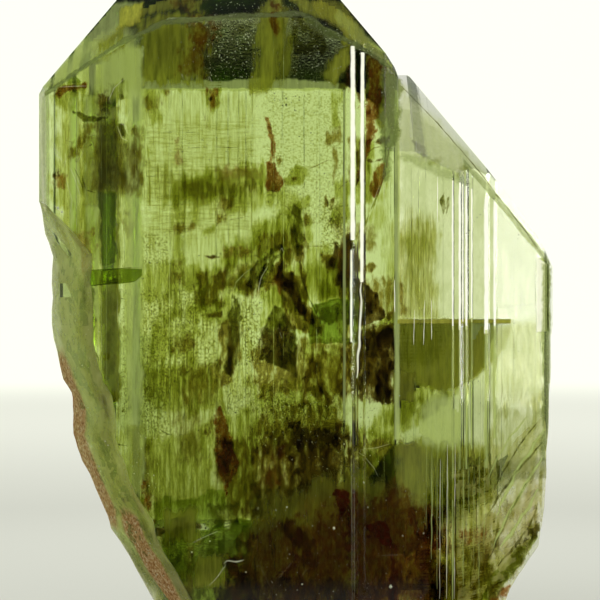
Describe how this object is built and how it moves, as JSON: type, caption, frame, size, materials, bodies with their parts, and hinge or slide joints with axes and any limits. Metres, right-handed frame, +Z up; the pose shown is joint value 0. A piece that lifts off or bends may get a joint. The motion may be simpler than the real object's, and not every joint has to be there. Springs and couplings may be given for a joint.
{
  "type": "peridot crystal",
  "caption": "Clear olive-green peridot crystal: flat upright habit, striated faces, chisel top, a thinner parallel crystal on its right, rough lower edge, cut flat at the base.",
  "frame": {"origin": "centre of the crystal's bounding box, at the flat base it stands on", "axes": "+Z up the crystal's long axis, -Y out of the broad front face, +X to the right seen from the front, towards the thinner crystal"},
  "size_m": [0.035, 0.011, 0.045],
  "materials": {
    "peridot": "clear olive green with a glassy lustre, frosted on the rough faces",
    "inclusion": "iron-stained cracks, veils and flakes inside the crystal, and the rust crust on its rough face"
  },
  "bodies": {
    "root": {"peridot_crystal": "peridot"}
  },
  "joints": []
}
